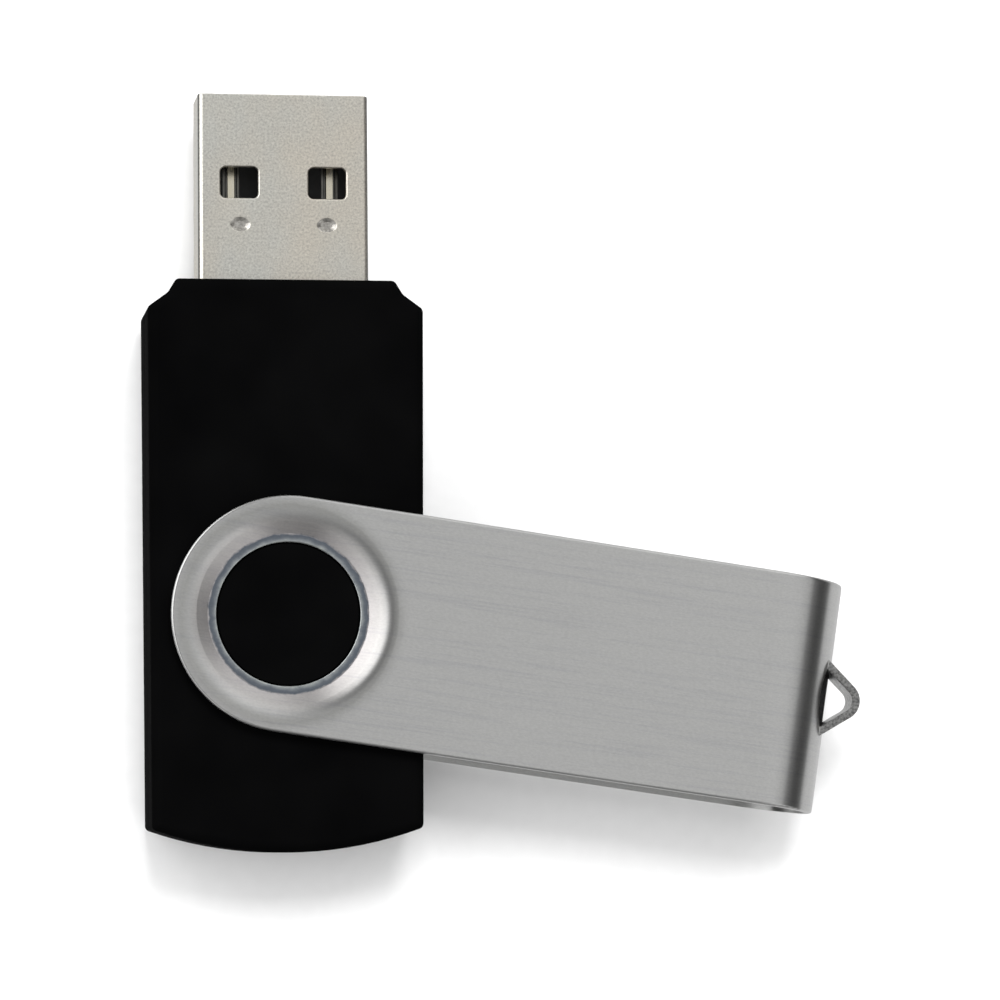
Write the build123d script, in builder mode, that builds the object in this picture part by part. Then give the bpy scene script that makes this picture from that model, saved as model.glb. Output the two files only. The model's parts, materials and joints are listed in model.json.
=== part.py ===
"""Swivel USB flash drive: moulded case, USB-A plug, circuit board and folded sheet cover.

Millimetres. The origin is the centre of the plug's mouth, +Y points out of the plug and
+Z is the drive's thickness. The cover turns about a line parallel to Z.
"""
import os
from math import cos, radians, sin, tan

from build123d import *

os.makedirs("parts", exist_ok=True)

# ---------------------------------------------------------------- driving dimensions
# plug
PLUG_WIDTH = 12.0
PLUG_HEIGHT = 4.5
PLUG_SHEET = 0.3
PLUG_CORNER = 0.45
PLUG_REACH = 13.3            # length that stands out of the case
PLUG_LENGTH = 18.0           # tube length, mouth to back
PLUG_MOUTH_ROUND = 0.09
WINDOW_SIZE = (2.65, 2.2)
WINDOW_BACK = 6.27           # mouth to window centre
WINDOW_SPREAD = 3.1
WINDOW_CORNER = 0.35
WINDOW_EDGE = 0.15           # punched edge, rolled over on the outside
DIMPLE_BACK = 9.25
DIMPLE_SPREAD = 3.05
DIMPLE_TOP = (0.72, 0.54)    # half axes at the surface and at the floor
DIMPLE_FLOOR = (0.4, 0.26)
DIMPLE_DEPTH = 0.2
SEAM_WIDTH = 0.08
FIN_LENGTH = 2.8
FIN_HEIGHT = 1.9

# insulator and contacts
TONGUE_FRONT = 0.4
TONGUE_BACK = 12.0
TONGUE_TOP = -0.05
TONGUE_GAP = 0.15            # clearance beside the tongue
TONGUE_CHAMFER = 0.3
CONTACT_THICKNESS = 0.2
CONTACT_WIDTH = 1.16
CONTACT_PROUD = 0.05         # height of the contacts above the tongue
CONTACT_NOSE = 0.6           # depth of the turned-down nose
BEAD_HALF = 0.23             # raised middle of a contact
BEAD_GROOVE = (0.19, 0.13)   # width at the top and depth of the groove beside it
BEAD_SLOPE = 0.06
FLANGE_DROP = 0.05           # bead's top to the strip's flat edges
CHANNEL_GAP = 0.02
RELIEF_SIZE = (8.6, 1.2, 1.0)  # space above the tails at the back of the block
TAIL_WIDTH = 0.7
TAIL_END = 20.4
POWER_FRONT = 1.3
DATA_FRONT = 2.3

# case
CASE_LENGTH = 39.9
CASE_TOP_WIDTH = 19.3
CASE_END_WIDTH = 18.85
CASE_THICKNESS = 8.4
CASE_WALL = 1.2
CAVITY_HALF = 2.55
CORNER_CUT = (2.0, 2.0)
CORNER_BEND = (1.43, 0.95)   # inner corner of the cut, from the case's side and top
CORNER_ROUNDS = (0.4, 0.4, 0.8, 0.4)  # plan rounds from the end corners up to the top ones
CASE_END_RADIUS = 27.5
CASE_SIDE_FILLET = 0.7
PARTING_CHAMFER = 0.1
PIVOT_BACK = 36.74           # mouth to pivot axis
BOSS_RADIUS = 4.92
BOSS_RISE = 0.1
BOSS_ROUND = 0.08
GROOVE_RADIUS = 6.7
GROOVE_DEPTH = 0.4
GROOVE_ROUND = 0.2
LIP_INSET = 0.72
LIP_HEIGHT = 0.5
LIP_GAP = 0.07
RIB_WIDTH = 0.8
ROOT_DEPTH = 0.1             # how far ribs, rails and posts run into the wall
CRADLE_BACKS = (15.6, 17.3)
POST_RADIUS = 1.1
PIN_RADIUS = 0.6
PIN_GAP = 0.05
PIN_LENGTH = 1.2
POST_PLACES = [(7.2, -19.6), (-7.2, -19.6), (4.6, -49.7), (-4.6, -49.7)]

# swivel cover
COVER_SWING = 98.74          # angle from the closed position, clockwise
COVER_WIDTH = 16.4
COVER_THICKNESS = 10.6
COVER_SHEET = 0.55
COVER_REACH = 39.35          # pivot to the outside of the folded end
COVER_EDGE = 0.2
HOLE_RADIUS = 5.0
DISH_RADIUS = 7.8            # where the plate starts to bend down towards the hole
DISH_SHOULDER = 6.98         # radius where the plate's plane and the slope would meet
DISH_SHOULDER_ROUND = 2.4
DISH_SLOPE = 30.0
LIP_OUTER = 5.6              # flat lip round the hole
LIP_KNEE_ROUND = 0.1
LIP_EDGE = 0.1
STRAP_LOW = 0.2              # height range of the keyring strap about mid-thickness
STRAP_HIGH = 2.6
STRAP_APEX = 2.85            # sharp corner of the V, beyond the fold
STRAP_ROOT = 2.1             # depth of the V's ends inside the fold
STRAP_HALF_ANGLE = 38.0
STRAP_NOSE = 1.4
STRAP_EDGE = 0.1
SCALLOP_HALF = 2.15
SCALLOP_TOP = 3.2

# circuit board and the parts on it
BOARD_THICKNESS = 0.8
BOARD_TOP = -0.2
BOARD_WIDTH = 15.6
BOARD_NECK = 11.2
BOARD_FRONT = 18.2
NECK_BACK = 21.4
BOARD_BACK = 47.0
PEG_BACK = 45.6
PEG_RADIUS = 0.7
PEG_SHOULDER = 0.5
PEG_RISE = 0.4               # height of the peg above the board
PEG_GAP = 0.08
BOARD_CORNER = 1.0
RAIL_X = 7.15
RAIL_WIDTH = 0.7
RAIL_CENTRE = 34.0
RAIL_LENGTH = 20.0
CONTROLLER_SIZE = (7.0, 7.0, 0.9)
CONTROLLER_BACK = 28.0
LEAD_PITCH = 0.5
LEAD_WIDTH = 0.22
LEAD_SHEET = 0.12
LEAD_REACH = 1.0
LEAD_SHOULDER = 0.45         # chip edge to the first bend
LEAD_LEAN = 0.1
LEADS_PER_SIDE = 12
CONTROLLER_LEAD_HEIGHT = 0.5
CHIP_CHAMFER = 0.1
PIN_ONE_PLACE = 2.6          # of the round pin-one mark, from the chip's centre
PIN_ONE_RADIUS = 0.4
PIN_ONE_DEPTH = 0.06
FLASH_SIZE = (12.0, 18.4, 0.95)
FLASH_BACK = 33.6
FLASH_LEADS = 24
FLASH_LEAD_HEIGHT = 0.55
CHIP_STANDOFF = 0.1
CRYSTAL_SIZE = (5.0, 3.2)
CRYSTAL_BACK = 37.0
CRYSTAL_BASE_HEIGHT = 0.45
CRYSTAL_BASE_CORNER = 0.2
CRYSTAL_LID_INSET = 0.2
CRYSTAL_LID_HEIGHT = 0.5
CRYSTAL_LID_CORNER = 0.4
CRYSTAL_LID_ROUND = 0.12
CHIP_CAPACITOR = (1.0, 0.5, 0.5)
CHIP_RESISTOR = (1.6, 0.8, 0.45)
CAP_SHARE = 0.2              # share of a chip's length taken by each end cap
CAPACITOR_X = 5.4
CAPACITOR_BACKS = (35.4, 37.0, 38.6, 41.4)
RESISTOR_X = 3.3
RESISTOR_BACKS = (40.8, 43.0)
SOLDER_HEIGHT = 0.5
SOLDER_WIDTH = 0.7
SOLDER_FRONT = 0.4           # board's front edge to the start of the joint
SOLDER_LENGTH = 1.8

CASE_TOP_Y = -PLUG_REACH
CASE_END_Y = CASE_TOP_Y - CASE_LENGTH
HALF_CASE = CASE_THICKNESS / 2
HALF_COVER = COVER_THICKNESS / 2
BOARD_BOTTOM = BOARD_TOP - BOARD_THICKNESS
PIVOT = (0, -PIVOT_BACK)
STANDING = (Align.CENTER, Align.CENTER, Align.MIN)


# ---------------------------------------------------------------- plastic case
def case_outline(inset=0.0):
    """Plan shape of the case, shrunk by inset."""
    top = CASE_TOP_WIDTH / 2
    end = CASE_END_WIDTH / 2
    drop = CASE_END_RADIUS - (CASE_END_RADIUS**2 - end**2) ** 0.5
    cut_x = top - CORNER_CUT[0]
    cut_y = CASE_TOP_Y - CORNER_CUT[1]
    bend_x = top - CORNER_BEND[0]
    bend_y = CASE_TOP_Y - CORNER_BEND[1]
    lower_left = (-end, CASE_END_Y + drop)
    lower_right = (end, CASE_END_Y + drop)
    with BuildSketch(Plane.XY, mode=Mode.PRIVATE) as plan:
        with BuildLine():
            ThreePointArc(lower_left, (0, CASE_END_Y), lower_right)
            Polyline(lower_right, (top, cut_y), (bend_x, bend_y), (cut_x, CASE_TOP_Y),
                     (-cut_x, CASE_TOP_Y), (-bend_x, bend_y), (-top, cut_y), lower_left)
        make_face()
        if inset:
            offset(amount=-inset, kind=Kind.INTERSECTION, mode=Mode.REPLACE)
        else:
            for level in (3, 2, 1, 0):
                fillet(plan.vertices().group_by(Axis.Y)[level], radius=CORNER_ROUNDS[level])
    return plan.sketch


# one half of the case, outside face up, before the details that differ
with BuildPart() as case_blank:
    with BuildSketch(Plane.XY):
        add(case_outline())
    extrude(amount=HALF_CASE)
    fillet(faces().sort_by(Axis.Z)[-1].edges(), radius=CASE_SIDE_FILLET)
    chamfer(faces().sort_by(Axis.Z)[0].edges(), length=PARTING_CHAMFER)
    # groove that takes the dished rim of the cover, round the pivot boss
    with BuildSketch(Plane.XY.offset(HALF_CASE)):
        with Locations(PIVOT):
            Circle(GROOVE_RADIUS)
    extrude(amount=-GROOVE_DEPTH, mode=Mode.SUBTRACT)
    face_circles = edges().filter_by(GeomType.CIRCLE).group_by(Axis.Z)[-1]
    fillet(face_circles.sort_by(Edge.length)[-1], radius=GROOVE_ROUND)
    with BuildSketch(Plane.XY.offset(HALF_CASE - GROOVE_DEPTH)):
        with Locations(PIVOT):
            Circle(BOSS_RADIUS)
    extrude(amount=GROOVE_DEPTH + BOSS_RISE)
    fillet(faces().sort_by(Axis.Z)[-1].edges(), radius=BOSS_ROUND)
    with BuildSketch(Plane.XY):
        add(case_outline(CASE_WALL))
    extrude(amount=CAVITY_HALF, mode=Mode.SUBTRACT)
    # ribs that cradle the plug, and the corner posts
    with BuildSketch(Plane.XY):
        with Locations([(0, -back) for back in CRADLE_BACKS]):
            Rectangle(CASE_TOP_WIDTH - 2 * CASE_WALL, RIB_WIDTH)
        with Locations(POST_PLACES):
            Circle(POST_RADIUS)
    extrude(amount=CAVITY_HALF + ROOT_DEPTH)
    with BuildSketch(Plane.XZ.offset(PLUG_REACH)):
        RectangleRounded(PLUG_WIDTH, PLUG_HEIGHT, PLUG_CORNER)
    extrude(amount=PLUG_LENGTH - PLUG_REACH, mode=Mode.SUBTRACT)

with BuildPart() as front_shell:
    add(case_blank.part)
    # rebate round the rim for the other half's lip
    with BuildSketch(Plane.XY):
        add(case_outline(LIP_INSET - LIP_GAP))
        add(case_outline(CASE_WALL), mode=Mode.SUBTRACT)
    extrude(amount=LIP_HEIGHT + LIP_GAP, mode=Mode.SUBTRACT)
    with BuildSketch(Plane.XY):
        with Locations(POST_PLACES):
            Circle(PIN_RADIUS + PIN_GAP)
    extrude(amount=PIN_LENGTH + PIN_GAP, mode=Mode.SUBTRACT)
    # rails that hold the board down
    with BuildSketch(Plane.XY.offset(BOARD_TOP)):
        with Locations((RAIL_X, -RAIL_CENTRE), (-RAIL_X, -RAIL_CENTRE)):
            Rectangle(RAIL_WIDTH, RAIL_LENGTH)
    extrude(amount=CAVITY_HALF + ROOT_DEPTH - BOARD_TOP)
front_shell.part.label = "front_shell"

with BuildPart() as rear_shell:
    mirror(case_blank.part, about=Plane.XY)
    # raised lip, broken where the plug passes
    with BuildSketch(Plane.XY):
        add(case_outline(LIP_INSET))
        add(case_outline(CASE_WALL), mode=Mode.SUBTRACT)
        with Locations((0, CASE_TOP_Y - CASE_WALL)):
            Rectangle(PLUG_WIDTH, 2 * CASE_WALL, mode=Mode.SUBTRACT)
    extrude(amount=LIP_HEIGHT)
    with BuildSketch(Plane.XY):
        with Locations(POST_PLACES):
            Circle(PIN_RADIUS)
    extrude(amount=PIN_LENGTH)
    # rails and peg under the board
    with BuildSketch(Plane.XY.offset(BOARD_BOTTOM)):
        with Locations((RAIL_X, -RAIL_CENTRE), (-RAIL_X, -RAIL_CENTRE)):
            Rectangle(RAIL_WIDTH, RAIL_LENGTH)
        with Locations((0, -PEG_BACK)):
            Circle(PEG_RADIUS + PEG_SHOULDER)
    extrude(amount=-(CAVITY_HALF + ROOT_DEPTH + BOARD_BOTTOM))
    with BuildSketch(Plane.XY.offset(BOARD_BOTTOM)):
        with Locations((0, -PEG_BACK)):
            Circle(PEG_RADIUS)
    extrude(amount=BOARD_THICKNESS + PEG_RISE)
rear_shell.part.label = "rear_shell"

# ---------------------------------------------------------------- plug
with BuildPart() as plug_shell:
    with BuildSketch(Plane.XZ):
        RectangleRounded(PLUG_WIDTH, PLUG_HEIGHT, PLUG_CORNER)
        RectangleRounded(PLUG_WIDTH - 2 * PLUG_SHEET, PLUG_HEIGHT - 2 * PLUG_SHEET,
                         PLUG_CORNER - PLUG_SHEET, mode=Mode.SUBTRACT)
    extrude(amount=PLUG_LENGTH)
    fillet(faces().sort_by(Axis.Y)[-1].edges(), radius=PLUG_MOUTH_ROUND)
    with BuildSketch(Plane.XY.offset(-PLUG_HEIGHT)):
        with Locations((WINDOW_SPREAD, -WINDOW_BACK), (-WINDOW_SPREAD, -WINDOW_BACK)):
            RectangleRounded(*WINDOW_SIZE, WINDOW_CORNER)
    extrude(amount=2 * PLUG_HEIGHT, mode=Mode.SUBTRACT)
    for level in (0, -1):
        rims = edges().group_by(Axis.Z)[level].filter_by(lambda rim: rim.length < WINDOW_SIZE[0])
        fillet(rims, radius=WINDOW_EDGE)
    # pressed dimples that pinch the insulator
    for face_side in (1, -1):
        for side in (1, -1):
            place = Plane(origin=(side * DIMPLE_SPREAD, -DIMPLE_BACK, face_side * PLUG_HEIGHT / 2),
                          x_dir=(1, 0, 0), z_dir=(0, 0, face_side))
            with BuildSketch(place):
                Ellipse(*DIMPLE_TOP)
            with BuildSketch(place.offset(-DIMPLE_DEPTH)):
                Ellipse(*DIMPLE_FLOOR)
            loft(mode=Mode.SUBTRACT)
    # butt seam along the back of the tube
    with BuildSketch(Plane.XY.offset(-PLUG_HEIGHT)):
        with Locations((0, -PLUG_LENGTH / 2)):
            Rectangle(SEAM_WIDTH, 2 * PLUG_LENGTH)
    extrude(amount=PLUG_HEIGHT, mode=Mode.SUBTRACT)
    # fins that run along the board's neck
    fin_x = (PLUG_WIDTH - PLUG_SHEET) / 2
    with BuildSketch(Plane.XZ.offset(PLUG_LENGTH)):
        with Locations((fin_x, BOARD_TOP - BOARD_THICKNESS / 2), (-fin_x, BOARD_TOP - BOARD_THICKNESS / 2)):
            Rectangle(PLUG_SHEET, FIN_HEIGHT)
    extrude(amount=FIN_LENGTH)
plug_shell.part.label = "plug_shell"

contacts = {"contact_vbus": (3.5, POWER_FRONT), "contact_data_minus": (1.0, DATA_FRONT),
            "contact_data_plus": (-1.0, DATA_FRONT), "contact_ground": (-3.5, POWER_FRONT)}


def contact_blank(place, front, grow=0.0):
    """Flat spring strip with its nose turned down into the tongue."""
    with BuildPart(mode=Mode.PRIVATE) as strip:
        with BuildSketch(Plane.XY.offset(TONGUE_TOP + CONTACT_PROUD)):
            with Locations((place, -(front + TONGUE_BACK) / 2)):
                Rectangle(CONTACT_WIDTH + 2 * grow, TONGUE_BACK - front + 2 * grow)
            with Locations((place, -(TONGUE_BACK + TAIL_END) / 2)):
                Rectangle(TAIL_WIDTH + 2 * grow, TAIL_END - TONGUE_BACK)
        extrude(amount=-CONTACT_THICKNESS - grow)
        with BuildSketch(Plane.XY.offset(TONGUE_TOP + CONTACT_PROUD)):
            with Locations((place, -front - CONTACT_THICKNESS / 2)):
                Rectangle(CONTACT_WIDTH + 2 * grow, CONTACT_THICKNESS + 2 * grow)
        extrude(amount=-CONTACT_NOSE - grow)
    return strip.part


def contact_strip(place, front):
    """Contact with a raised middle between two grooves."""
    mouth = Plane(origin=(place, -front, TONGUE_TOP + CONTACT_PROUD), x_dir=(1, 0, 0), z_dir=(0, -1, 0))
    groove_end = BEAD_HALF + BEAD_GROOVE[0]
    with BuildPart(mode=Mode.PRIVATE) as strip:
        add(contact_blank(place, front))
        with BuildSketch(mouth):
            with BuildLine():
                Polyline((BEAD_HALF, 0), (BEAD_HALF + BEAD_SLOPE, -BEAD_GROOVE[1]),
                         (groove_end - BEAD_SLOPE, -BEAD_GROOVE[1]), (groove_end, -FLANGE_DROP),
                         (CONTACT_WIDTH, -FLANGE_DROP), (CONTACT_WIDTH, 0), close=True)
            make_face()
            mirror(about=Plane.YZ)
        extrude(amount=TONGUE_BACK - front, mode=Mode.SUBTRACT)
    return strip.part


with BuildPart() as contact_vbus:
    add(contact_strip(*contacts["contact_vbus"]))
with BuildPart() as contact_data_minus:
    add(contact_strip(*contacts["contact_data_minus"]))
with BuildPart() as contact_data_plus:
    add(contact_strip(*contacts["contact_data_plus"]))
with BuildPart() as contact_ground:
    add(contact_strip(*contacts["contact_ground"]))
contact_vbus.part.label = "contact_vbus"
contact_data_minus.part.label = "contact_data_minus"
contact_data_plus.part.label = "contact_data_plus"
contact_ground.part.label = "contact_ground"

with BuildPart() as plug_insulator:
    inner_half = PLUG_HEIGHT / 2 - PLUG_SHEET
    inner_width = PLUG_WIDTH - 2 * PLUG_SHEET
    with BuildSketch(Plane.XZ.offset(TONGUE_FRONT)):
        with Locations((0, (TONGUE_TOP - inner_half) / 2)):
            Rectangle(inner_width - 2 * TONGUE_GAP, TONGUE_TOP + inner_half)
    extrude(amount=TONGUE_BACK - TONGUE_FRONT)
    chamfer(faces().sort_by(Axis.Y)[-1].edges().filter_by(Axis.X), length=TONGUE_CHAMFER)
    with BuildSketch(Plane.XZ.offset(TONGUE_BACK)):
        RectangleRounded(inner_width, 2 * inner_half, PLUG_CORNER - PLUG_SHEET)
    extrude(amount=PLUG_LENGTH - TONGUE_BACK)
    # channels for the contacts
    for place, front in contacts.values():
        add(contact_blank(place, front, grow=CHANNEL_GAP), mode=Mode.SUBTRACT)
    # relief above the contacts where they leave the block
    with BuildSketch(Plane.XZ.offset(PLUG_LENGTH)):
        with Locations((0, RELIEF_SIZE[1] / 2)):
            Rectangle(RELIEF_SIZE[0], RELIEF_SIZE[1])
    extrude(amount=-RELIEF_SIZE[2], mode=Mode.SUBTRACT)
plug_insulator.part.label = "plug_insulator"

# ---------------------------------------------------------------- circuit board
with BuildPart() as circuit_board:
    with BuildSketch(Plane.XY.offset(BOARD_BOTTOM)):
        with Locations((0, -(BOARD_FRONT + BOARD_BACK) / 2)):
            Rectangle(BOARD_NECK, BOARD_BACK - BOARD_FRONT)
        with Locations((0, -(NECK_BACK + BOARD_BACK) / 2)):
            Rectangle(BOARD_WIDTH, BOARD_BACK - NECK_BACK)
        fillet(vertices().group_by(Axis.Y)[0], radius=BOARD_CORNER)
        with Locations((0, -PEG_BACK)):
            Circle(PEG_RADIUS + PEG_GAP, mode=Mode.SUBTRACT)
    extrude(amount=BOARD_THICKNESS)
circuit_board.part.label = "circuit_board"


def gull_lead(height):
    """One formed lead along +X: shoulder at height, foot on the board plane at zero."""
    with BuildPart(mode=Mode.PRIVATE) as lead:
        with BuildSketch(Plane.XZ):
            with BuildLine():
                Polyline((0, height), (LEAD_SHOULDER, height), (LEAD_SHOULDER + LEAD_LEAN, LEAD_SHEET),
                         (LEAD_REACH, LEAD_SHEET), (LEAD_REACH, 0), (LEAD_SHOULDER, 0),
                         (LEAD_SHOULDER - LEAD_LEAN, height - LEAD_SHEET),
                         (0, height - LEAD_SHEET), close=True)
            make_face()
        extrude(amount=LEAD_WIDTH / 2, both=True)
    return lead.part


with BuildPart() as controller_chip:
    with Locations((0, -CONTROLLER_BACK, BOARD_TOP + CHIP_STANDOFF)):
        Box(*CONTROLLER_SIZE, align=STANDING)
    chamfer(faces().sort_by(Axis.Z)[-1].edges(), length=CHIP_CHAMFER)
    chip_top = BOARD_TOP + CHIP_STANDOFF + CONTROLLER_SIZE[2]
    with Locations((-PIN_ONE_PLACE, PIN_ONE_PLACE - CONTROLLER_BACK, chip_top)):
        Hole(radius=PIN_ONE_RADIUS, depth=PIN_ONE_DEPTH)
controller_chip.part.label = "controller_chip"

with BuildPart() as controller_leads:
    lead = gull_lead(CONTROLLER_LEAD_HEIGHT)
    centre = Plane(origin=(0, -CONTROLLER_BACK, BOARD_TOP))
    for quarter in range(4):
        with Locations(centre.rotated((0, 0, 90 * quarter))):
            with Locations((CONTROLLER_SIZE[0] / 2, 0)):
                with GridLocations(1, LEAD_PITCH, 1, LEADS_PER_SIDE):
                    add(lead)
controller_leads.part.label = "controller_leads"

flash_plane = Plane(origin=(0, -FLASH_BACK, BOARD_BOTTOM), x_dir=(0, 1, 0), z_dir=(0, 0, -1))
with BuildPart() as flash_chip:
    with BuildSketch(flash_plane.offset(CHIP_STANDOFF)):
        Rectangle(FLASH_SIZE[1], FLASH_SIZE[0])
    extrude(amount=FLASH_SIZE[2])
    chamfer(faces().sort_by(Axis.Z)[0].edges(), length=CHIP_CHAMFER)
flash_chip.part.label = "flash_chip"

with BuildPart() as flash_leads:
    lead = gull_lead(FLASH_LEAD_HEIGHT)
    for quarter in (0, 2):
        with Locations(flash_plane.rotated((0, 0, 90 * quarter))):
            with Locations((FLASH_SIZE[1] / 2, 0)):
                with GridLocations(1, LEAD_PITCH, 1, FLASH_LEADS):
                    add(lead)
flash_leads.part.label = "flash_leads"

with BuildPart() as crystal_base:
    with BuildSketch(Plane.XY.offset(BOARD_TOP)):
        with Locations((0, -CRYSTAL_BACK)):
            RectangleRounded(*CRYSTAL_SIZE, CRYSTAL_BASE_CORNER)
    extrude(amount=CRYSTAL_BASE_HEIGHT)
crystal_base.part.label = "crystal_base"

with BuildPart() as crystal_lid:
    with BuildSketch(Plane.XY.offset(BOARD_TOP + CRYSTAL_BASE_HEIGHT)):
        with Locations((0, -CRYSTAL_BACK)):
            RectangleRounded(CRYSTAL_SIZE[0] - 2 * CRYSTAL_LID_INSET,
                             CRYSTAL_SIZE[1] - 2 * CRYSTAL_LID_INSET, CRYSTAL_LID_CORNER)
    extrude(amount=CRYSTAL_LID_HEIGHT)
    fillet(faces().sort_by(Axis.Z)[-1].edges(), radius=CRYSTAL_LID_ROUND)
crystal_lid.part.label = "crystal_lid"

# two-terminal chips: lengthwise along X, a body between two end caps
capacitor_places = [(x, -back, BOARD_TOP)
                    for x in (-CAPACITOR_X, CAPACITOR_X) for back in CAPACITOR_BACKS]
resistor_places = [(x, -back, BOARD_TOP)
                   for x in (-RESISTOR_X, 0, RESISTOR_X) for back in RESISTOR_BACKS]


def chip_bodies(size, places):
    """Bodies of two-terminal chips at places."""
    with Locations(places):
        Box(size[0] * (1 - 2 * CAP_SHARE), size[1], size[2], align=STANDING)


def chip_ends(size, places):
    """End caps of two-terminal chips at places."""
    reach = size[0] * (1 - CAP_SHARE) / 2
    for place in places:
        with Locations((place[0] - reach, place[1], place[2]), (place[0] + reach, place[1], place[2])):
            Box(size[0] * CAP_SHARE, size[1], size[2], align=STANDING)


with BuildPart() as capacitors:
    chip_bodies(CHIP_CAPACITOR, capacitor_places)
capacitors.part.label = "capacitors"

with BuildPart() as capacitor_terminals:
    chip_ends(CHIP_CAPACITOR, capacitor_places)
capacitor_terminals.part.label = "capacitor_terminals"

with BuildPart() as resistors:
    chip_bodies(CHIP_RESISTOR, resistor_places)
resistors.part.label = "resistors"

with BuildPart() as resistor_terminals:
    chip_ends(CHIP_RESISTOR, resistor_places)
resistor_terminals.part.label = "resistor_terminals"

with BuildPart() as solder_joints:
    # fillets between the plug's fins and the board's neck
    for side in (1, -1):
        foot = fin_x - PLUG_SHEET / 2
        with BuildSketch(Plane.XZ.offset(BOARD_FRONT + SOLDER_FRONT)):
            with BuildLine():
                Polyline((side * foot, BOARD_TOP), (side * foot, BOARD_TOP + SOLDER_HEIGHT),
                         (side * (foot - SOLDER_WIDTH), BOARD_TOP), close=True)
            make_face()
        extrude(amount=SOLDER_LENGTH)
solder_joints.part.label = "solder_joints"

# ---------------------------------------------------------------- swivel cover
bearing = radians(90 - COVER_SWING)
cover_plan = Plane(origin=(0, -PIVOT_BACK, 0), x_dir=(cos(bearing), sin(bearing), 0), z_dir=(0, 0, 1))
cover_side = Plane(origin=cover_plan.origin, x_dir=cover_plan.x_dir, z_dir=-cover_plan.y_dir)
cover_end = Plane(origin=cover_plan.origin, x_dir=cover_plan.y_dir, z_dir=cover_plan.x_dir)
FOLD = COVER_REACH - HALF_COVER          # where the flat plates meet the folded end
HALF_INSIDE = HALF_COVER - COVER_SHEET

# keyring strap, a blunt V
apex_x = COVER_REACH + STRAP_APEX
base_x = COVER_REACH - STRAP_ROOT
base_half = (STRAP_APEX + STRAP_ROOT) * tan(radians(STRAP_HALF_ANGLE))
with BuildSketch() as strap_outside:
    with BuildLine():
        Polyline((base_x, base_half), (apex_x, 0), (base_x, -base_half), close=True)
    make_face()
    fillet(vertices().sort_by(Axis.X)[-1], radius=STRAP_NOSE)
with BuildSketch() as strap_inside:
    add(strap_outside.sketch)
    offset(amount=-COVER_SHEET, kind=Kind.INTERSECTION, mode=Mode.REPLACE)
with BuildPart() as strap:
    with BuildSketch(cover_plan.offset(STRAP_LOW)):
        add(strap_outside.sketch)
        add(strap_inside.sketch, mode=Mode.SUBTRACT)
    extrude(amount=STRAP_HIGH - STRAP_LOW)
    fillet(faces().sort_by(Axis.Z)[-1].edges() + faces().sort_by(Axis.Z)[0].edges(), radius=STRAP_EDGE)

# front plate's dished rim, bent down to a flat lip
lip_height = HALF_COVER - tan(radians(DISH_SLOPE)) * (DISH_SHOULDER - LIP_OUTER)
with BuildPart() as dish:
    with BuildSketch(cover_side):
        with BuildLine():
            FilletPolyline((DISH_RADIUS, HALF_COVER), (DISH_SHOULDER, HALF_COVER),
                           (LIP_OUTER, lip_height), (HOLE_RADIUS, lip_height),
                           radius=[DISH_SHOULDER_ROUND, LIP_KNEE_ROUND])
            offset(amount=COVER_SHEET, side=Side.LEFT, closed=True)
        make_face()
        fillet(vertices().sort_by(Axis.X)[:2], radius=LIP_EDGE)
    revolve(axis=Axis(cover_plan.origin, (0, 0, 1)))

with BuildPart() as swivel_cover:
    # folded strip, still solid between its plates
    with BuildSketch(cover_side):
        with Locations(((FOLD - COVER_WIDTH) / 2, 0)):
            Rectangle(FOLD + COVER_WIDTH, COVER_THICKNESS)
        with Locations((FOLD, 0)):
            Circle(HALF_COVER)
    extrude(amount=COVER_WIDTH / 2, both=True)
    with BuildSketch(cover_plan.offset(-COVER_THICKNESS)):
        Circle(COVER_WIDTH / 2)
        with Locations((COVER_REACH, 0)):
            Rectangle(2 * COVER_REACH, COVER_WIDTH)
    extrude(amount=2 * COVER_THICKNESS, mode=Mode.INTERSECT)
    side_lines = edges().filter_by(Axis(cover_plan.origin, cover_plan.y_dir))
    upright_lines = edges().filter_by(Axis.Z)
    fillet(edges() - side_lines - upright_lines, radius=COVER_EDGE)
    # strap pushed out of the fold, then the hollow that trims its ends
    add(strap.part)
    with BuildSketch(cover_side):
        with Locations(((FOLD - COVER_WIDTH) / 2, 0)):
            Rectangle(FOLD + COVER_WIDTH, 2 * HALF_INSIDE)
        with Locations((FOLD, 0)):
            Circle(HALF_INSIDE)
    extrude(amount=COVER_WIDTH, both=True, mode=Mode.SUBTRACT)
    # slot behind the strap, with a curved scallop along its front edge
    with BuildSketch(cover_plan.offset(STRAP_LOW)):
        add(strap_inside.sketch)
    extrude(amount=STRAP_HIGH - STRAP_LOW, mode=Mode.SUBTRACT)
    with BuildSketch(cover_end.offset(FOLD)):
        with BuildLine():
            ThreePointArc((-SCALLOP_HALF, STRAP_HIGH), (0, SCALLOP_TOP), (SCALLOP_HALF, STRAP_HIGH))
            Line((SCALLOP_HALF, STRAP_HIGH), (-SCALLOP_HALF, STRAP_HIGH))
        make_face()
    extrude(amount=COVER_THICKNESS, mode=Mode.SUBTRACT)
    # dished rims round the pivot
    with BuildSketch(cover_plan.offset(-COVER_THICKNESS)):
        Circle(DISH_RADIUS)
    extrude(amount=2 * COVER_THICKNESS, mode=Mode.SUBTRACT)
    add(dish.part)
    mirror(dish.part, about=Plane.XY)
swivel_cover.part.label = "swivel_cover"

# ---------------------------------------------------------------- hand over
pieces = [swivel_cover, front_shell, rear_shell, plug_shell, plug_insulator, contact_vbus,
          contact_data_minus, contact_data_plus, contact_ground, circuit_board, controller_chip,
          controller_leads, flash_chip, flash_leads, crystal_base, crystal_lid, capacitors,
          capacitor_terminals, resistors, resistor_terminals, solder_joints]
for piece in pieces:
    export_step(piece.part, f"parts/{piece.part.label}.step")
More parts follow.
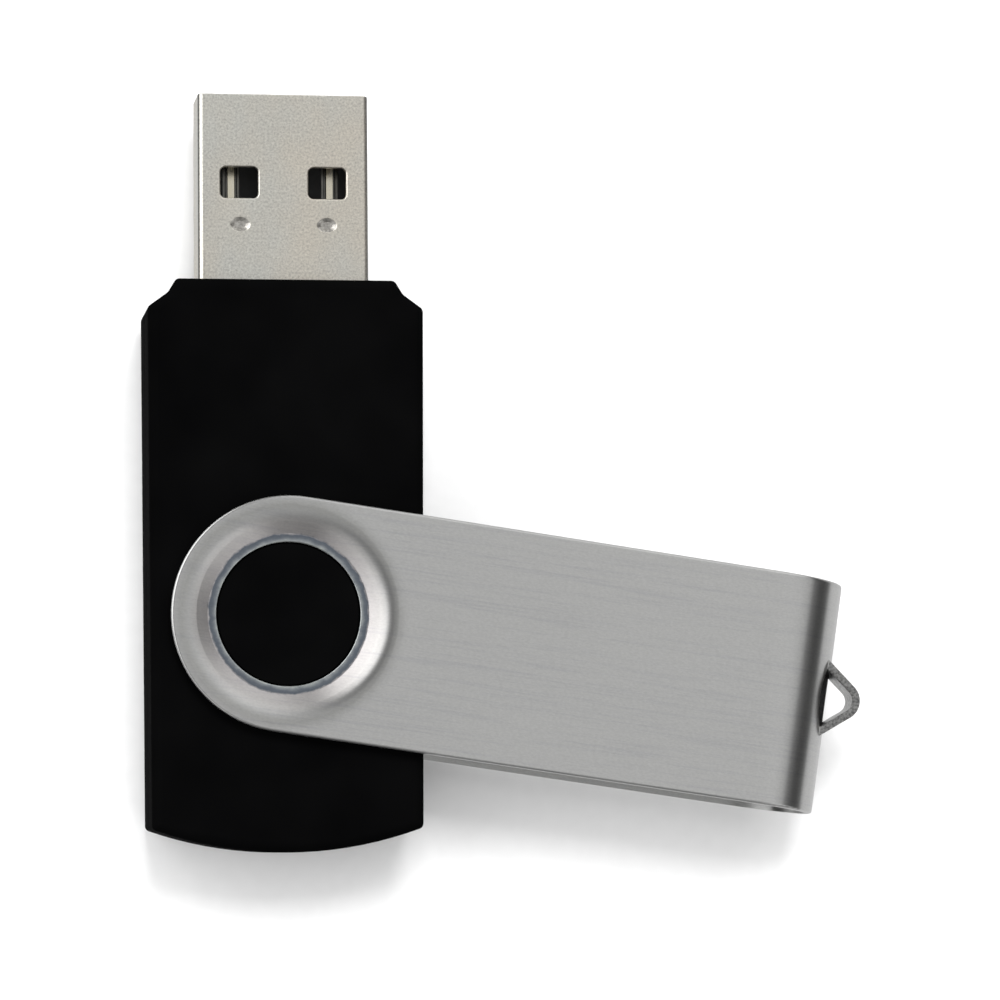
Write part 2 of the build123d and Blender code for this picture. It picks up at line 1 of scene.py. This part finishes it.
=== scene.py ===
"""Looks of the swivel flash drive: materials, floor, studio light and camera."""

import json
from math import cos, radians, sin

import bpy
from mathutils import Matrix, Vector


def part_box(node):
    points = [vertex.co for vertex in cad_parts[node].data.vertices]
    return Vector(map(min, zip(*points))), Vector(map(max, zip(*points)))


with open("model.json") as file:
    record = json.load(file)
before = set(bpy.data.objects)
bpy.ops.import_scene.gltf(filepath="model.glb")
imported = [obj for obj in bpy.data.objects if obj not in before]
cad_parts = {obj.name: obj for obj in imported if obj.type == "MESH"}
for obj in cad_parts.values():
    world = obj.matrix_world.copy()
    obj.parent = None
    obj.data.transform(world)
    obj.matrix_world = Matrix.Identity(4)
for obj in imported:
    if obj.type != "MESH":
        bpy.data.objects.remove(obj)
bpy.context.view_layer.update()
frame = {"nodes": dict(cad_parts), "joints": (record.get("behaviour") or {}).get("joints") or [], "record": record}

MM = 0.001
X_AXIS, Y_AXIS, Z_AXIS = Vector((1, 0, 0)), Vector((0, 1, 0)), Vector((0, 0, 1))
MIX_FACTOR, MIX_FIRST, MIX_SECOND, MIX_RESULT = 0, 6, 7, 2   # sockets of a colour mix node
GATE_EDGE = 0.01 * MM                    # half width of the soft edge of a gate

swivel = next(joint for joint in frame["joints"] if joint["name"] == "cover_swivel")
PIVOT = Vector(swivel["pos_m"])
COVER_BEARING = radians(-8.74)           # direction of the cover's length, from +X
COVER_LENGTH_AXIS = Vector((cos(COVER_BEARING), sin(COVER_BEARING), 0))
COVER_WIDTH_AXIS = Vector((-sin(COVER_BEARING), cos(COVER_BEARING), 0))
PRESSED_FROM = 5.0 * MM                  # the cover's pressed rim, from its hole outwards
PRESSED_TO = 9.0 * MM
SLOPE_TOP = 6.6 * MM                     # radius where the slope meets the plate
FOLD_START = 34.05 * MM                  # pivot to the axis of the folded end
FOLD_RADIUS = 5.3 * MM                   # outside and inside of the folded end
FOLD_INSIDE = 4.75 * MM
SLOT_HALF = 2.9 * MM                     # half width of the slot behind the keyring strap
STRAP_CLEAR = 0.03 * MM                  # keeps the strap's tone and the slot's painted shade off the fold's faces
PLUG_HALF_WIDTH = 6.0 * MM
PLUG_HALF_HEIGHT = 2.25 * MM
DIMPLES = (-9.9 * MM, -8.6 * MM)         # stretch of the plug that holds its pressed dimples
DIMPLE_REACH = 4.2 * MM                  # how far across the plug they lie
DIMPLE_SINK = 0.03 * MM                  # depth at which their painted shade starts
SIDE_BEND = (0.12 * MM, 0.01 * MM)       # band of painted shade on the plug's bends, in from its side faces
BEAD_BASE = -0.03 * MM                   # height where a contact's gold bead starts


# ---------------------------------------------------------------- node helpers
def colour_output(node):
    """Number of the output that carries a node's colour."""
    return MIX_RESULT if node.bl_idname == "ShaderNodeMix" else 0


class Shader:
    """A material's node tree with short ways to add and join nodes."""

    def __init__(self, name):
        self.material = bpy.data.materials.new(name)
        self.material.use_nodes = True
        self.tree = self.material.node_tree
        self.tree.nodes.clear()
        self.surface = self.add("ShaderNodeBsdfPrincipled")
        output = self.add("ShaderNodeOutputMaterial")
        self.join(self.surface, "BSDF", output, "Surface")

    def add(self, kind, **settings):
        node = self.tree.nodes.new(kind)
        for key, value in settings.items():
            setattr(node, key, value)
        return node

    def join(self, source, out_socket, target, in_socket):
        self.tree.links.new(source.outputs[out_socket], target.inputs[in_socket])

    def fix(self, **values):
        """Sets constants on the surface shader's own sockets, spaces written as underscores."""
        for key, value in values.items():
            self.surface.inputs[key.replace("_", " ")].default_value = value

    def dress(self, colour, rough, relief):
        """Gives the surface shader its colour, roughness and normal."""
        self.join(colour, colour_output(colour), self.surface, "Base Color")
        self.join(rough, 0, self.surface, "Roughness")
        self.join(relief, "Normal", self.surface, "Normal")

    def place(self, scale=(1, 1, 1), turn=0.0):
        """Object coordinates, turned about Z and scaled axis by axis."""
        where = self.add("ShaderNodeTexCoord")
        mapping = self.add("ShaderNodeMapping", vector_type="TEXTURE")
        mapping.inputs["Rotation"].default_value = (0, 0, turn)
        mapping.inputs["Scale"].default_value = tuple(1 / s for s in scale)
        self.join(where, "Object", mapping, "Vector")
        return mapping

    def noise(self, coordinates, scale, detail=2.0, roughness=0.5):
        texture = self.add("ShaderNodeTexNoise")
        texture.inputs["Scale"].default_value = scale
        texture.inputs["Detail"].default_value = detail
        texture.inputs["Roughness"].default_value = roughness
        self.join(coordinates, "Vector", texture, "Vector")
        return texture

    def spread(self, source, low, high, start=0.3, end=0.7, socket="Fac"):
        """Maps a value from the range start..end to low..high, clamped."""
        ranges = self.add("ShaderNodeMapRange")
        ranges.inputs["From Min"].default_value = start
        ranges.inputs["From Max"].default_value = end
        ranges.inputs["To Min"].default_value = low
        ranges.inputs["To Max"].default_value = high
        self.join(source, socket, ranges, "Value")
        return ranges

    def shades(self, source, socket, *stops):
        """A colour ramp: stops are (position, colour) pairs."""
        ramp = self.add("ShaderNodeValToRGB")
        elements = ramp.color_ramp.elements
        while len(elements) < len(stops):
            elements.new(0.5)
        for element, (position, colour) in zip(elements, stops):
            element.position = position
            element.color = (*colour, 1)
        self.join(source, socket, ramp, "Fac")
        return ramp

    def bump(self, source, socket, distance, strength=1.0):
        relief = self.add("ShaderNodeBump")
        relief.inputs["Distance"].default_value = distance
        relief.inputs["Strength"].default_value = strength
        self.join(source, socket, relief, "Height")
        return relief

    def measure(self, source, axis, socket="Vector"):
        """Distance along a unit axis of the position that a node gives."""
        product = self.add("ShaderNodeVectorMath", operation="DOT_PRODUCT")
        product.inputs[1].default_value = axis
        self.join(source, socket, product, 0)
        return product

    def combine(self, operation, first, second):
        """Arithmetic on the first outputs of two nodes."""
        result = self.add("ShaderNodeMath", operation=operation)
        self.join(first, 0, result, 0)
        self.join(second, 0, result, 1)
        return result

    def distance_of(self, first, second):
        """Length of the vector made of two measures."""
        pair = self.add("ShaderNodeCombineXYZ")
        self.join(first, "Value", pair, "X")
        self.join(second, "Value", pair, "Y")
        length = self.add("ShaderNodeVectorMath", operation="LENGTH")
        self.join(pair, "Vector", length, 0)
        return length

    def multiply(self, first, second):
        """Product of two colours."""
        mix = self.add("ShaderNodeMix", data_type="RGBA", blend_type="MULTIPLY")
        mix.inputs[MIX_FACTOR].default_value = 1.0
        self.join(first, colour_output(first), mix, MIX_FIRST)
        self.join(second, 0, mix, MIX_SECOND)
        return mix

    def size_of(self, measure):
        """A measure without its sign."""
        plain = self.add("ShaderNodeMath", operation="ABSOLUTE")
        self.join(measure, "Value", plain, 0)
        return plain

    def gate(self, *limits):
        """One where every measure is past its limit, zero elsewhere: (measure, limit, 1 or -1)."""
        total = None
        for measure, limit, side in limits:
            edge = GATE_EDGE * side
            step = self.spread(measure, 0, 1, limit - edge, limit + edge, "Value")
            total = step if total is None else self.combine("MULTIPLY", total, step)
        return total

    def blend(self, share, first, second):
        """Colour that goes from first to second as share goes from 0 to 1."""
        mix = self.add("ShaderNodeMix", data_type="RGBA")
        self.join(share, 0, mix, MIX_FACTOR)
        self.join(first, colour_output(first), mix, MIX_FIRST)
        self.join(second, 0, mix, MIX_SECOND)
        return mix


# ---------------------------------------------------------------- materials
# tones of the pressed rim, with painted shade and a painted highlight, from PRESSED_FROM at 0 to PRESSED_TO at 1
PRESSED_TONES_SHADE_AND_HIGHLIGHT = (
    (0.005, (0.95, 1.0, 1.0)),       # painted highlight on the edge of the hole
    (0.045, (0.55, 0.6, 0.65)),      # dull bluish lip
    (0.075, (0.35, 0.39, 0.45)),
    (0.12, (0.27, 0.31, 0.375)),
    (0.158, (0.98, 0.94, 0.945)),    # warm polished slope
    (0.35, (1.0, 0.975, 0.97)),
    (0.5, (0.85, 0.85, 0.85)),       # painted shade on the ring where the plate bends down
    (0.62, (0.76, 0.76, 0.75)),
    (0.76, (0.95, 0.95, 0.95)),
    (0.86, (1.0, 1.0, 1.0)),         # plate
)


def brushed_sheet():
    """Stainless sheet, brushed along the cover's length; duller on its cut and formed edges, with painted shade on
    the pressed rim's bend and in the slot, and a painted highlight round the hole.
    """
    steel = Shader("brushed_sheet")
    fine = steel.noise(steel.place((150, 7000, 150), COVER_BEARING), 1.0, 3.0, 0.65)
    broad = steel.noise(steel.place((90, 2600, 90), COVER_BEARING), 1.0, 4.0, 0.6)
    blotch = steel.noise(steel.place((90, 160, 90), COVER_BEARING), 1.0, 3.0)
    mixed = steel.combine("ADD", fine, broad)
    lines = steel.shades(mixed, "Value", (0.75, (0.588, 0.589, 0.593)),
                         (1.0, (0.642, 0.642, 0.632)))
    grain = steel.noise(steel.place((1, 2.2, 1), COVER_BEARING), 4200, 3.0, 0.7)
    speckle = steel.shades(grain, "Fac", (0.3, (0.87, 0.87, 0.87)), (0.7, (1.0, 1.0, 1.0)))
    sheet = steel.multiply(lines, speckle)

    # distances along the cover, across it and from the pivot line
    where = steel.add("ShaderNodeTexCoord")
    from_pivot = steel.add("ShaderNodeVectorMath", operation="SUBTRACT")
    from_pivot.inputs[1].default_value = PIVOT
    steel.join(where, "Object", from_pivot, 0)
    along = steel.measure(from_pivot, COVER_LENGTH_AXIS)
    across = steel.measure(from_pivot, COVER_WIDTH_AXIS)
    height = steel.measure(from_pivot, Z_AXIS)
    radius = steel.distance_of(along, across)

    # distance from the fold's own axis tells its outside from the strap and the slot
    past_fold = steel.add("ShaderNodeMath", operation="SUBTRACT")
    past_fold.inputs[1].default_value = FOLD_START
    steel.join(along, "Value", past_fold, 0)
    fold_radius = steel.distance_of(past_fold, height)
    grit = steel.noise(steel.place(), 5000, 3.0)
    cut = steel.shades(grit, "Fac", (0.35, (0.14, 0.14, 0.14)), (0.68, (0.42, 0.42, 0.41)))
    # near-black painted shade for the faces inside the slot behind the strap
    shaded = steel.shades(grit, "Fac", (0.3, (0.02, 0.02, 0.02)), (0.7, (0.05, 0.05, 0.05)))
    reach = steel.spread(radius, 0, 1, PRESSED_FROM, PRESSED_TO, "Value")
    uneven = steel.spread(steel.noise(steel.place(), 1500, 4.0, 0.6), -0.022, 0.022)
    pressed = steel.shades(steel.combine("ADD", reach, uneven), "Value", *PRESSED_TONES_SHADE_AND_HIGHLIGHT)
    strap = steel.gate((fold_radius, FOLD_RADIUS + STRAP_CLEAR, 1), (past_fold, 0, 1))
    slot = steel.gate((fold_radius, FOLD_RADIUS - STRAP_CLEAR, -1),
                      (fold_radius, FOLD_INSIDE + STRAP_CLEAR, 1),
                      (past_fold, 0, 1), (steel.size_of(across), SLOT_HALF, -1))
    shade = steel.multiply(sheet, pressed)
    shade = steel.blend(strap, shade, cut)
    shade = steel.blend(slot, shade, shaded)

    slope = steel.spread(radius, 0.07, 0, SLOPE_TOP - 0.4 * MM, SLOPE_TOP + 0.2 * MM, "Value")
    even = steel.spread(blotch, 0.285, 0.33)
    rough = steel.combine("ADD", even, slope)
    scratches = steel.bump(mixed, "Value", 0.003 * MM, 0.35)
    steel.dress(shade, rough, scratches)

    sideways = steel.add("ShaderNodeCombineXYZ")
    for socket, value in zip("XYZ", COVER_WIDTH_AXIS):
        sideways.inputs[socket].default_value = value
    turned = steel.add("ShaderNodeVectorTransform", vector_type="VECTOR",
                       convert_from="OBJECT", convert_to="WORLD")
    steel.join(sideways, "Vector", turned, "Vector")
    steel.join(turned, "Vector", steel.surface, "Tangent")
    steel.fix(Metallic=1.0, Anisotropic=0.9)
    return steel.material


def case_plastic():
    """Black moulded plastic with a fine even texture."""
    plastic = Shader("case_plastic")
    grain = plastic.noise(plastic.place(), 5200, 3.0, 0.55)
    drift = plastic.noise(plastic.place(), 160, 2.0)
    colour = plastic.shades(drift, "Fac", (0.3, (0.0014, 0.0014, 0.0015)),
                            (0.7, (0.0023, 0.0023, 0.0024)))
    rough = plastic.spread(grain, 0.6, 0.75)
    relief = plastic.bump(grain, "Fac", 0.006 * MM, 0.5)
    plastic.dress(colour, rough, relief)
    plastic.fix(IOR=1.03)      # keeps the black case free of sheen, as in the photograph
    return plastic.material


def plug_plate():
    """Nickel-plated plug shell: satin and speckled, with painted shade on the side bends and in the dimples."""
    plate = Shader("plug_plate")
    speckle = plate.noise(plate.place(), 6200, 3.0, 0.7)
    cloud = plate.noise(plate.place((1, 0.5, 1)), 420, 3.0)
    colour = plate.shades(speckle, "Fac", (0.27, (0.56, 0.538, 0.49)),
                          (0.48, (0.765, 0.738, 0.668)), (0.74, (0.99, 0.96, 0.88)))
    drift = plate.noise(plate.place((1, 0.7, 1)), 190, 2.0)
    tint = plate.shades(drift, "Fac", (0.35, (0.955, 0.98, 1.0)),
                        (0.65, (1.0, 0.975, 0.945)))
    toned = plate.multiply(colour, tint)
    # painted shade: a dark band at the bends between the face and the sides
    where = plate.add("ShaderNodeTexCoord")
    off_centre = plate.size_of(plate.measure(where, X_AXIS, "Object"))
    bend = plate.gate((off_centre, PLUG_HALF_WIDTH - SIDE_BEND[0], 1),
                      (off_centre, PLUG_HALF_WIDTH - SIDE_BEND[1], -1))
    bend_shade = plate.shades(speckle, "Fac", (0.3, (0.1, 0.1, 0.095)), (0.7, (0.3, 0.295, 0.28)))
    depth = plate.measure(where, Z_AXIS, "Object")
    along = plate.measure(where, Y_AXIS, "Object")
    # painted shade inside the sunken dimples
    dimples = plate.gate((plate.size_of(depth), PLUG_HALF_HEIGHT - DIMPLE_SINK, -1),
                         (along, DIMPLES[0], 1), (along, DIMPLES[1], -1),
                         (off_centre, DIMPLE_REACH, -1))
    dimple_shade = plate.shades(speckle, "Fac", (0.3, (0.3, 0.285, 0.265)), (0.7, (0.75, 0.73, 0.68)))
    shade = plate.blend(bend, toned, bend_shade)
    shade = plate.blend(dimples, shade, dimple_shade)
    rough = plate.spread(cloud, 0.3, 0.42)
    relief = plate.bump(speckle, "Fac", 0.008 * MM, 0.55)
    plate.dress(shade, rough, relief)
    plate.fix(Metallic=1.0)
    return plate.material


def contact_gold():
    """Contact strip: gold along its raised middle, with dark painted shade in the grooves and on the flanges."""
    gold = Shader("contact_gold")
    mottle = gold.noise(gold.place((1, 0.2, 1)), 3200, 3.0)
    bright = gold.shades(mottle, "Fac", (0.3, (0.82, 0.76, 0.6)), (0.7, (0.97, 0.92, 0.78)))
    # painted shade below the gold bead, in the grooves and on the flanges
    groove_shade = gold.shades(mottle, "Fac", (0.3, (0.09, 0.088, 0.08)), (0.7, (0.2, 0.195, 0.18)))
    where = gold.add("ShaderNodeTexCoord")
    height = gold.measure(where, Z_AXIS, "Object")
    bead = gold.gate((height, BEAD_BASE, 1))
    shade = gold.blend(bead, groove_shade, bright)
    rough = gold.spread(mottle, 0.22, 0.32)
    relief = gold.bump(mottle, "Fac", 0.003 * MM, 0.3)
    gold.dress(shade, rough, relief)
    gold.fix(Metallic=1.0)
    return gold.material


def plain_metal(name, dark, light, roughness):
    """Bright small metal parts with slight unevenness."""
    metal = Shader(name)
    mottle = metal.noise(metal.place(), 3200, 3.0)
    colour = metal.shades(mottle, "Fac", (0.3, dark), (0.7, light))
    rough = metal.spread(mottle, roughness - 0.06, roughness + 0.06)
    relief = metal.bump(mottle, "Fac", 0.004 * MM, 0.4)
    metal.dress(colour, rough, relief)
    metal.fix(Metallic=1.0)
    return metal.material


def fine_solid(name, dark, light, roughness, grain=2600.0):
    """Non-metal with a mottled colour and a fine surface."""
    solid = Shader(name)
    mottle = solid.noise(solid.place(), grain, 4.0)
    colour = solid.shades(mottle, "Fac", (0.3, dark), (0.7, light))
    rough = solid.spread(mottle, roughness - 0.07, roughness + 0.07)
    relief = solid.bump(mottle, "Fac", 0.008 * MM, 0.5)
    solid.dress(colour, rough, relief)
    return solid.material


MATERIALS = {
    "brushed_sheet": brushed_sheet(),
    "case_plastic": case_plastic(),
    "plug_plate": plug_plate(),
    "insulator_plastic": fine_solid("insulator_plastic", (0.002, 0.002, 0.002),
                                    (0.004, 0.004, 0.004), 0.7),
    "contact_gold": contact_gold(),
    "board_laminate": fine_solid("board_laminate", (0.01, 0.09, 0.03),
                                 (0.015, 0.13, 0.05), 0.35),
    "chip_resin": fine_solid("chip_resin", (0.018, 0.018, 0.019),
                             (0.03, 0.03, 0.031), 0.6, 5000.0),
    "tinned_lead": plain_metal("tinned_lead", (0.6, 0.6, 0.6), (0.76, 0.76, 0.77), 0.28),
    "ceramic_base": fine_solid("ceramic_base", (0.07, 0.06, 0.055),
                               (0.1, 0.09, 0.085), 0.6),
    "capacitor_tan": fine_solid("capacitor_tan", (0.42, 0.29, 0.15),
                                (0.52, 0.38, 0.22), 0.55),
}
slot_of = {part["node"]: part["material_slot"] for part in frame["record"]["subparts"]}
for name, piece in frame["nodes"].items():
    piece.data.materials.clear()
    piece.data.materials.append(MATERIALS[slot_of[name]])


# ---------------------------------------------------------------- floor
FLOOR_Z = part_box("swivel_cover")[0][2]
FLOOR_HALF = 1.5


def make_floor():
    """Wide plain white sheet, left out of the metal's reflections."""
    mesh = bpy.data.meshes.new("floor")
    corners = [(x * FLOOR_HALF, y * FLOOR_HALF, FLOOR_Z)
               for x, y in ((-1, -1), (1, -1), (1, 1), (-1, 1))]
    mesh.from_pydata(corners, [], [(0, 1, 2, 3)])
    sheet = bpy.data.objects.new("floor", mesh)
    bpy.context.scene.collection.objects.link(sheet)
    sheet.visible_glossy = False
    paper = Shader("floor_paper")
    mottle = paper.noise(paper.place(), 900, 2.0)
    shade = paper.shades(mottle, "Fac", (0.3, (0.9, 0.9, 0.9)), (0.7, (0.92, 0.92, 0.92)))
    paper.join(shade, "Color", paper.surface, "Base Color")
    paper.fix(Roughness=0.9, Specular_IOR_Level=0.0)
    mesh.materials.append(paper.material)
    return sheet


make_floor()


# ---------------------------------------------------------------- light
LAMP_AIM = Vector((10 * MM, -33 * MM, 0))
ROOM_GLOW = 0.07
# soft panels: azimuth, elevation, full and faded radius in degrees, brightness
PANELS = {
    "overhead": (0, 90, 10, 55, 0.17),
    "tent": (5, 61, 34, 37, 0.4),
    "window": (152, 27, 24, 42, 2.2),
    "back_wall": (66, 26, 24, 40, 0.9),
    "front_wall": (-85, 45, 20, 45, 0.15),
    "front_right": (-40, 30, 12, 28, 0.7),
    "front_left": (-133, 36, 10, 26, 0.65),
    "table": (0, -90, 72, 83, 0.64),
}


def toward(azimuth, elevation):
    """Unit direction: azimuth anticlockwise from +X seen from above, both in degrees."""
    az, el = radians(azimuth), radians(elevation)
    return Vector((cos(el) * cos(az), cos(el) * sin(az), sin(el)))


def floor_lamp(name, azimuth, elevation, distance, size, power):
    """Square lamp for the floor and the plastics, left out of reflections."""
    lamp = bpy.data.lights.new(name, "AREA")
    lamp.shape = "SQUARE"
    lamp.size = size
    lamp.energy = power
    holder = bpy.data.objects.new(name, lamp)
    direction = toward(azimuth, elevation)
    holder.location = LAMP_AIM + direction * distance
    holder.rotation_euler = direction.to_track_quat("Z", "Y").to_euler()
    holder.visible_glossy = False
    bpy.context.scene.collection.objects.link(holder)


def make_studio():
    """Surroundings made of a dim room and soft-edged bright panels."""
    world = bpy.data.worlds.new("studio")
    bpy.context.scene.world = world
    world.use_nodes = True
    tree = world.node_tree
    where = tree.nodes.new("ShaderNodeTexCoord")
    total = tree.nodes.new("ShaderNodeValue")
    total.outputs[0].default_value = ROOM_GLOW
    for azimuth, elevation, full, faded, brightness in PANELS.values():
        facing = tree.nodes.new("ShaderNodeVectorMath")
        facing.operation = "DOT_PRODUCT"
        facing.inputs[1].default_value = toward(azimuth, elevation)
        tree.links.new(where.outputs["Generated"], facing.inputs[0])
        edge = tree.nodes.new("ShaderNodeMapRange")
        edge.interpolation_type = "SMOOTHSTEP"
        edge.inputs["From Min"].default_value = cos(radians(faded))
        edge.inputs["From Max"].default_value = cos(radians(full))
        edge.inputs["To Max"].default_value = brightness
        tree.links.new(facing.outputs["Value"], edge.inputs["Value"])
        joined = tree.nodes.new("ShaderNodeMath")
        tree.links.new(total.outputs[0], joined.inputs[0])
        tree.links.new(edge.outputs["Result"], joined.inputs[1])
        total = joined
    tree.links.new(total.outputs[0], tree.nodes["Background"].inputs["Strength"])
    tree.nodes["Background"].inputs["Color"].default_value = (1, 1, 1, 1)


floor_lamp("floor_key", azimuth=88, elevation=62, distance=0.6, size=0.22, power=2.4)
floor_lamp("floor_fill", azimuth=270, elevation=86, distance=0.7, size=1.2, power=3.1)
make_studio()

# ---------------------------------------------------------------- camera
CAMERA_AIM = Vector((15.54 * MM, PIVOT.y + 8.33 * MM, 0))
CAMERA_SIDE = Vector((-0.152, -0.0822, 1)).normalized()   # from the aim to the camera
CAMERA_DISTANCE = 0.3
CAMERA_ROLL = radians(-0.51)
LENS_LENGTH = 152.24


def make_camera():
    """Long lens, a little to the lower left of straight above."""
    lens = bpy.data.cameras.new("camera")
    lens.sensor_width = 36
    lens.lens = LENS_LENGTH
    lens.clip_start = 0.01
    holder = bpy.data.objects.new("camera", lens)
    right = Y_AXIS.cross(CAMERA_SIDE).normalized()
    up = CAMERA_SIDE.cross(right)
    basis = Matrix((right, up, CAMERA_SIDE)).transposed().to_4x4()
    place = Matrix.Translation(CAMERA_AIM + CAMERA_SIDE * CAMERA_DISTANCE)
    holder.matrix_world = place @ basis @ Matrix.Rotation(CAMERA_ROLL, 4, "Z")
    bpy.context.scene.collection.objects.link(holder)
    bpy.context.scene.camera = holder


make_camera()
bpy.context.scene.view_settings.view_transform = "Standard"
